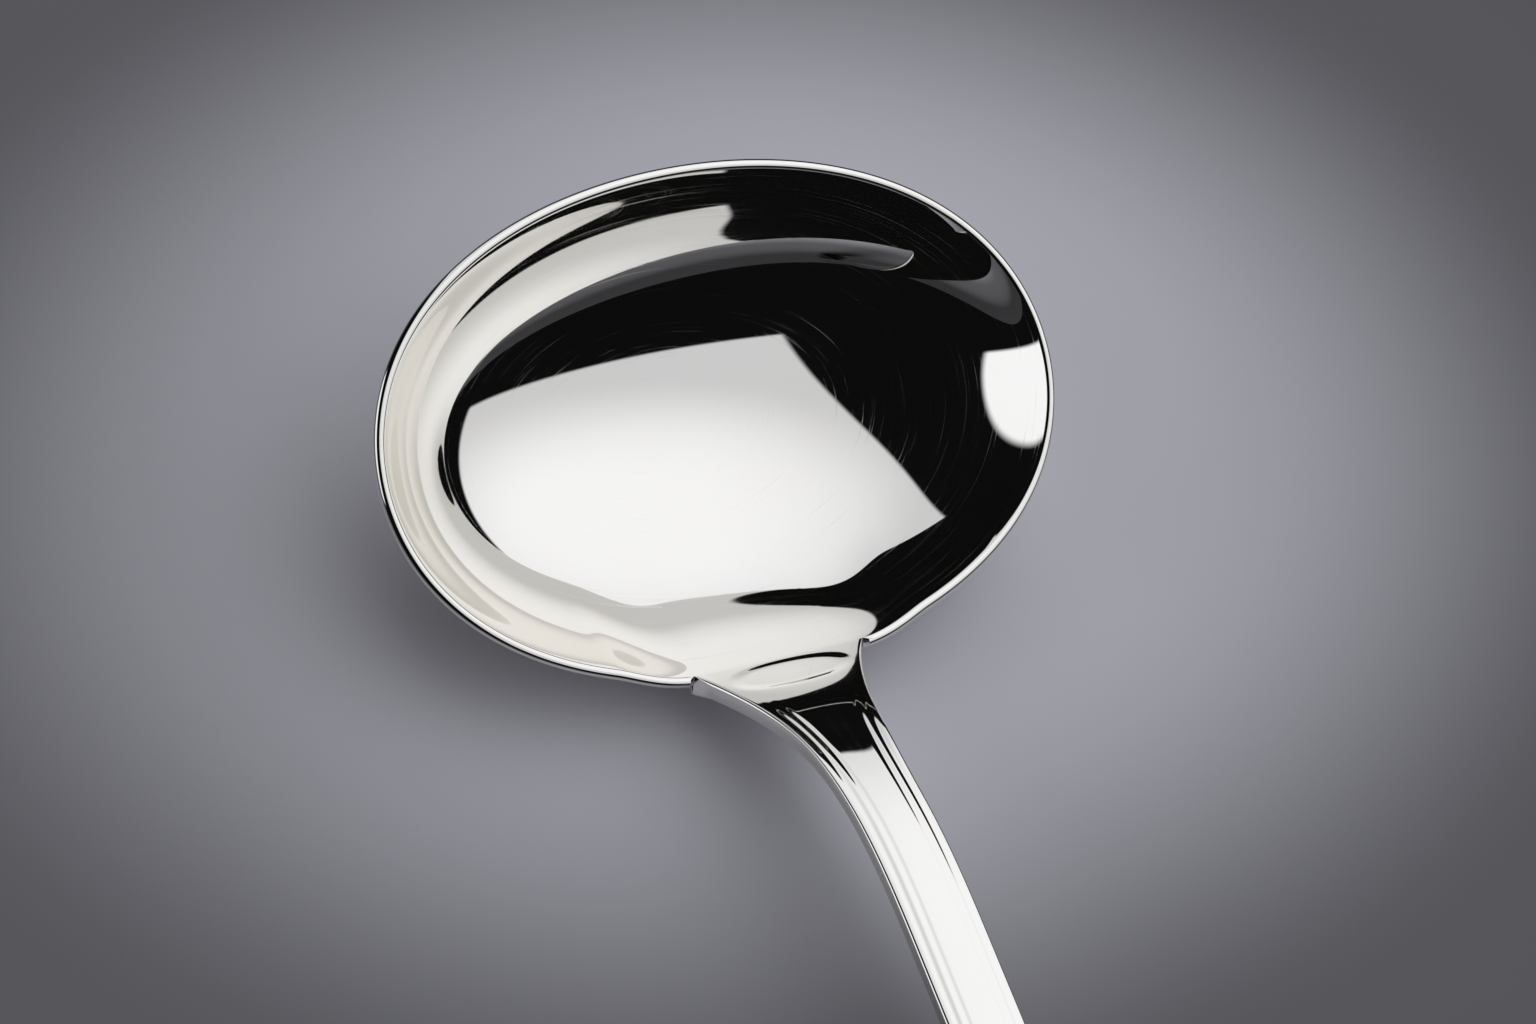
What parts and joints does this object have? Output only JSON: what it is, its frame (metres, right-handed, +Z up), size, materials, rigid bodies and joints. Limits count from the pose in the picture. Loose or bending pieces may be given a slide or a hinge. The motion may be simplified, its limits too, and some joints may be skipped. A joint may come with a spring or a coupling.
{
  "type": "sauce ladle",
  "caption": "Polished silver-plated sauce ladle: an oval bowl set crosswise to a bent handle with a thread border along its edges, for serving sauce or gravy.",
  "frame": {"origin": "middle of the worn flat under the bowl, on the surface that the ladle lies on", "axes": "+Z up from that surface, +X along the bowl's length, -Y from the bowl towards the handle's end"},
  "size_m": [0.0778, 0.1931, 0.0301],
  "materials": {
    "bowl_silver": "mirror-polished silver plate with fine wiping scratches",
    "handle_silver": "mirror-polished silver plate",
    "solder": "hard silver solder, hidden in the joint"
  },
  "bodies": {
    "root": {"bowl": "bowl_silver", "handle": "handle_silver", "solder_seam": "solder"}
  },
  "joints": []
}
